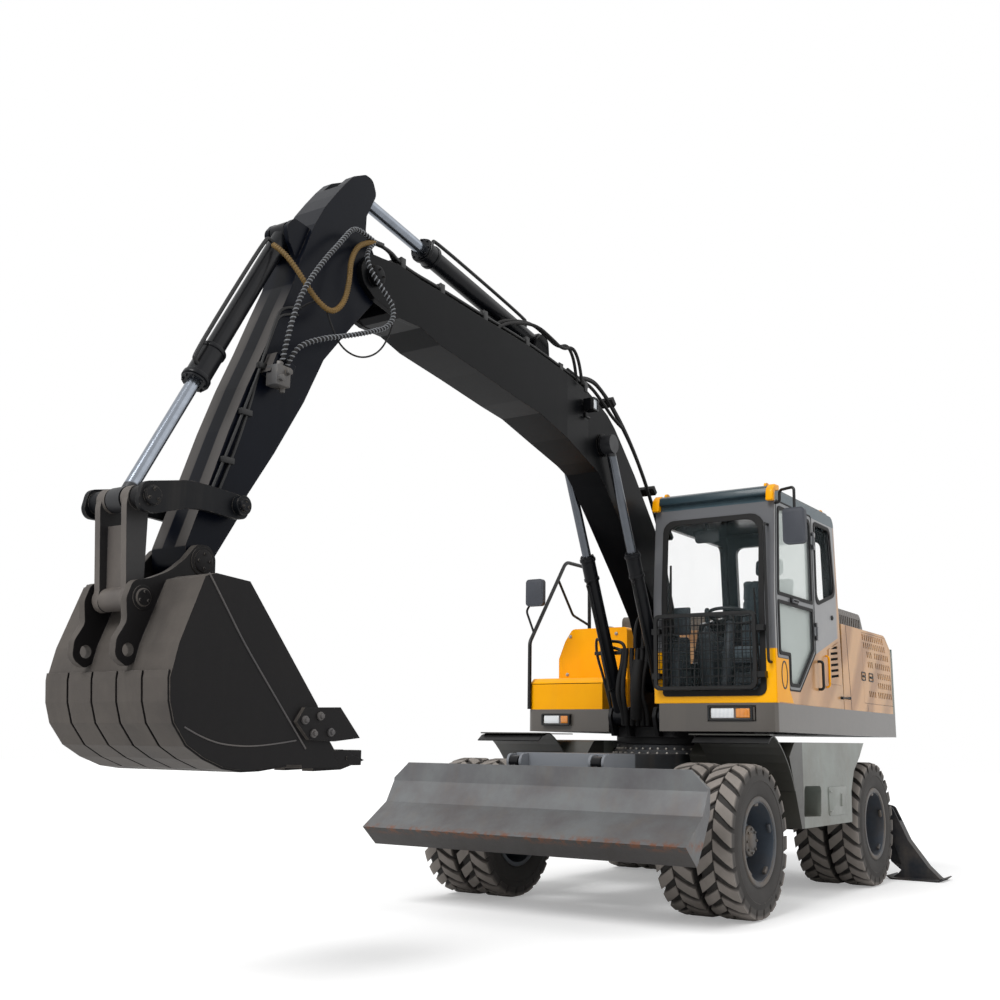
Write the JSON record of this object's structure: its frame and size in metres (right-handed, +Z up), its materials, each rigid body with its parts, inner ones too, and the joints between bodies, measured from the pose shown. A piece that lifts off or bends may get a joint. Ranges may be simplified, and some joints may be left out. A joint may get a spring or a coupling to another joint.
{
  "type": "wheeled excavator",
  "caption": "Wheeled excavator with slewing house, cab, one-piece boom, arm, bucket, front dozer blade, rear stands and twin tyres on two axles.",
  "frame": {"origin": "on the ground under the middle of the machine's bounding box, as parked in the picture", "axes": "+X forward, along the boom and towards the bucket; +Y left, the cab side; +Z up"},
  "size_m": [8.2169, 3.24, 4.4189],
  "materials": {
    "undercarriage_paint": "satin",
    "box_paint": "satin",
    "iron": "rough",
    "tyre": "worn",
    "rim_paint": "satin",
    "blade_paint": "worn",
    "cylinder_paint": "satin",
    "rod_chrome": "polished",
    "leg_paint": "satin",
    "frame_paint": "satin",
    "skirt_paint": "satin",
    "yellow_paint": "gloss",
    "cab_paint": "gloss",
    "tinted_glass": "clear",
    "cabin_trim": "matte",
    "black_rail": "gloss",
    "cover_paint": "gloss",
    "lid_paint": "satin",
    "weight_paint": "satin",
    "boom_paint": "satin",
    "bucket_paint": "worn"
  },
  "bodies": {
    "undercarriage": {"chassis": "undercarriage_paint", "side_boxes": "box_paint", "axles": "iron"},
    "left_hub": {"left_knuckle": "iron"},
    "right_hub": {"right_knuckle": "iron"},
    "front_left_wheel": {"front_left_tyres": "tyre", "front_left_rims": "rim_paint"},
    "front_right_wheel": {"front_right_tyres": "tyre", "front_right_rims": "rim_paint"},
    "rear_left_wheel": {"rear_left_tyres": "tyre", "rear_left_rims": "rim_paint"},
    "rear_right_wheel": {"rear_right_tyres": "tyre", "rear_right_rims": "rim_paint"},
    "dozer_blade": {"blade": "blade_paint"},
    "blade_barrel_pair": {"blade_barrels": "cylinder_paint"},
    "blade_rod_pair": {"blade_rods": "rod_chrome"},
    "left_leg": {"left_stand": "leg_paint"},
    "left_leg_barrel": {"left_stand_barrel": "cylinder_paint"},
    "left_leg_rod": {"left_stand_rod": "rod_chrome"},
    "right_leg": {"right_stand": "leg_paint"},
    "right_leg_barrel": {"right_stand_barrel": "cylinder_paint"},
    "right_leg_rod": {"right_stand_rod": "rod_chrome"},
    "house": {"upper_frame": "frame_paint", "skirt": "skirt_paint", "cab": "cab_paint", "cab_glass": "tinted_glass", "cab_interior": "cabin_trim", "rails": "black_rail", "engine_cover": "cover_paint", "counterweight": "weight_paint", "right_tank": "yellow_paint"},
    "door": {"cab_door": "yellow_paint", "door_glass": "tinted_glass"},
    "lid": {"hood_lid": "lid_paint"},
    "main_boom": {"boom": "boom_paint"},
    "boom_barrel_pair": {"boom_barrels": "cylinder_paint"},
    "boom_rod_pair": {"boom_rods": "rod_chrome"},
    "dipper": {"arm": "boom_paint"},
    "dipper_barrel": {"arm_barrel": "cylinder_paint"},
    "dipper_rod": {"arm_rod": "rod_chrome"},
    "digging_bucket": {"bucket": "bucket_paint"},
    "curl_barrel": {"bucket_barrel": "cylinder_paint"},
    "curl_rod": {"bucket_rod": "rod_chrome"},
    "curl_rocker": {"rocker": "boom_paint"},
    "curl_link": {"bucket_link": "boom_paint"}
  },
  "joints": [
    {"name": "slew", "type": "hinge", "parent": "undercarriage", "child": "house", "pos_m": [-1.80846, 0, 1.15], "axis": [0, 0, 1], "continuous": true},
    {"name": "steer_left", "type": "hinge", "parent": "undercarriage", "child": "left_hub", "pos_m": [-0.44646, 0.6, 0.514], "axis": [0, 0, 1], "range_deg": [-28, 28]},
    {"name": "steer_right", "type": "hinge", "parent": "undercarriage", "child": "right_hub", "pos_m": [-0.44646, -0.6, 0.514], "axis": [0, 0, 1], "range_deg": [-28.1, 28.1]},
    {"name": "roll_front_left", "type": "hinge", "parent": "left_hub", "child": "front_left_wheel", "pos_m": [-0.44646, 0.973, 0.514], "axis": [0, 1, 0], "continuous": true},
    {"name": "roll_front_right", "type": "hinge", "parent": "right_hub", "child": "front_right_wheel", "pos_m": [-0.44646, -0.973, 0.514], "axis": [0, 1, 0], "continuous": true},
    {"name": "roll_rear_left", "type": "hinge", "parent": "undercarriage", "child": "rear_left_wheel", "pos_m": [-3.06646, 0.973, 0.514], "axis": [0, 1, 0], "continuous": true},
    {"name": "roll_rear_right", "type": "hinge", "parent": "undercarriage", "child": "rear_right_wheel", "pos_m": [-3.06646, -0.973, 0.514], "axis": [0, 1, 0], "continuous": true},
    {"name": "blade_lift", "type": "hinge", "parent": "undercarriage", "child": "dozer_blade", "pos_m": [-0.10846, 0, 0.56], "axis": [0, -1, 0], "range_deg": [-40, 3]},
    {"name": "blade_cylinder_tilt", "type": "hinge", "parent": "undercarriage", "child": "blade_barrel_pair", "pos_m": [0.15954, 0, 1.015], "axis": [0, -1, 0], "range_deg": [-12.87, 0.99]},
    {"name": "blade_cylinder_stroke", "type": "slide", "parent": "blade_barrel_pair", "child": "blade_rod_pair", "axis": [0.3339, 0, -0.9426], "range_m": [-0.02012, 0.26129]},
    {"name": "left_leg_fold", "type": "hinge", "parent": "undercarriage", "child": "left_leg", "pos_m": [-3.86846, 0.5, 0.45], "axis": [1, 0, 0], "range_deg": [0, 38]},
    {"name": "left_leg_cylinder_tilt", "type": "hinge", "parent": "undercarriage", "child": "left_leg_barrel", "pos_m": [-3.86846, 0.365, 1.085], "axis": [1, 0, 0], "range_deg": [-0.04, 18.44]},
    {"name": "left_leg_cylinder_stroke", "type": "slide", "parent": "left_leg_barrel", "child": "left_leg_rod", "axis": [0, 0.8287, -0.5598], "range_m": [-0.33669, 0.00067]},
    {"name": "right_leg_fold", "type": "hinge", "parent": "undercarriage", "child": "right_leg", "pos_m": [-3.86846, -0.5, 0.45], "axis": [-1, 0, 0], "range_deg": [0, 38]},
    {"name": "right_leg_cylinder_tilt", "type": "hinge", "parent": "undercarriage", "child": "right_leg_barrel", "pos_m": [-3.86846, -0.365, 1.085], "axis": [-1, 0, 0], "range_deg": [-0.04, 18.44]},
    {"name": "right_leg_cylinder_stroke", "type": "slide", "parent": "right_leg_barrel", "child": "right_leg_rod", "axis": [0, -0.8287, -0.5598], "range_m": [-0.33669, 0.00067]},
    {"name": "boom_lift", "type": "hinge", "parent": "house", "child": "main_boom", "pos_m": [-1.59646, 0, 1.68], "axis": [0, -1, 0], "range_deg": [-56.7, 35.8]},
    {"name": "boom_cylinder_tilt", "type": "hinge", "parent": "house", "child": "boom_barrel_pair", "pos_m": [-1.18346, 0, 1.37], "axis": [0, -1, 0], "range_deg": [-56.48, 35.73]},
    {"name": "boom_cylinder_stroke", "type": "slide", "parent": "boom_barrel_pair", "child": "boom_rod_pair", "axis": [0.4145, 0, 0.9101], "range_m": [-0.44858, 0.28377]},
    {"name": "dipper_swing", "type": "hinge", "parent": "main_boom", "child": "dipper", "pos_m": [2.49154, 0, 3.795], "axis": [0, 1, 0], "range_deg": [-54.2, 57.8]},
    {"name": "dipper_cylinder_tilt", "type": "hinge", "parent": "main_boom", "child": "dipper_barrel", "pos_m": [0.52154, 0, 4], "axis": [0, -1, 0], "range_deg": [-3.75, 3.52]},
    {"name": "dipper_cylinder_stroke", "type": "slide", "parent": "dipper_barrel", "child": "dipper_rod", "axis": [0.985, 0, 0.1724], "range_m": [-0.47734, 0.50892]},
    {"name": "bucket_curl", "type": "hinge", "parent": "dipper", "child": "digging_bucket", "pos_m": [3.65254, 0, 1.957], "axis": [0, 1, 0], "range_deg": [-92, 55]},
    {"name": "rocker_turn", "type": "hinge", "parent": "dipper", "child": "curl_rocker", "pos_m": [3.47654, 0, 2.251], "axis": [0, 1, 0], "range_deg": [-68.3, 40.92]},
    {"name": "link_turn", "type": "hinge", "parent": "curl_rocker", "child": "curl_link", "pos_m": [4.00554, 0, 2.206], "axis": [0, 1, 0], "range_deg": [-20.46, 34.15]},
    {"name": "bucket_cylinder_tilt", "type": "hinge", "parent": "dipper", "child": "curl_barrel", "pos_m": [3.08154, 0, 3.87], "axis": [0, 1, 0], "range_deg": [-6.94, 4.16]},
    {"name": "bucket_cylinder_stroke", "type": "slide", "parent": "curl_barrel", "child": "curl_rod", "axis": [0.4855, 0, -0.8743], "range_m": [-0.54072, 0.32395]},
    {"name": "door_swing", "type": "hinge", "parent": "house", "child": "door", "pos_m": [-1.72546, 1.262, 2.3], "axis": [0, 0, 1], "range_deg": [0, 170]},
    {"name": "lid_lift", "type": "hinge", "parent": "house", "child": "lid", "pos_m": [-2.74446, 0, 2.183], "axis": [0, 1, 0], "range_deg": [0, 60]}
  ],
  "couplings": [
    {"joint": "steer_right", "follows": "steer_left", "ratio": 1},
    {"joint": "blade_cylinder_tilt", "follows": "blade_lift", "ratio": 0.32116},
    {"joint": "blade_cylinder_stroke", "follows": "blade_lift", "m_per_rad": -0.37347},
    {"joint": "left_leg_cylinder_tilt", "follows": "left_leg_fold", "ratio": 0.48439},
    {"joint": "left_leg_cylinder_stroke", "follows": "left_leg_fold", "m_per_rad": -0.50665},
    {"joint": "right_leg_cylinder_tilt", "follows": "right_leg_fold", "ratio": 0.48439},
    {"joint": "right_leg_cylinder_stroke", "follows": "right_leg_fold", "m_per_rad": -0.50665},
    {"joint": "boom_cylinder_tilt", "follows": "boom_lift", "ratio": 0.99286},
    {"joint": "boom_cylinder_stroke", "follows": "boom_lift", "m_per_rad": 0.45182},
    {"joint": "dipper_cylinder_tilt", "follows": "dipper_swing", "ratio": -0.064674},
    {"joint": "dipper_cylinder_stroke", "follows": "dipper_swing", "m_per_rad": 0.50253},
    {"joint": "rocker_turn", "follows": "bucket_curl", "ratio": 0.74},
    {"joint": "link_turn", "follows": "bucket_curl", "ratio": -0.37},
    {"joint": "bucket_cylinder_tilt", "follows": "bucket_curl", "ratio": 0.075184},
    {"joint": "bucket_cylinder_stroke", "follows": "bucket_curl", "m_per_rad": 0.33567}
  ]
}
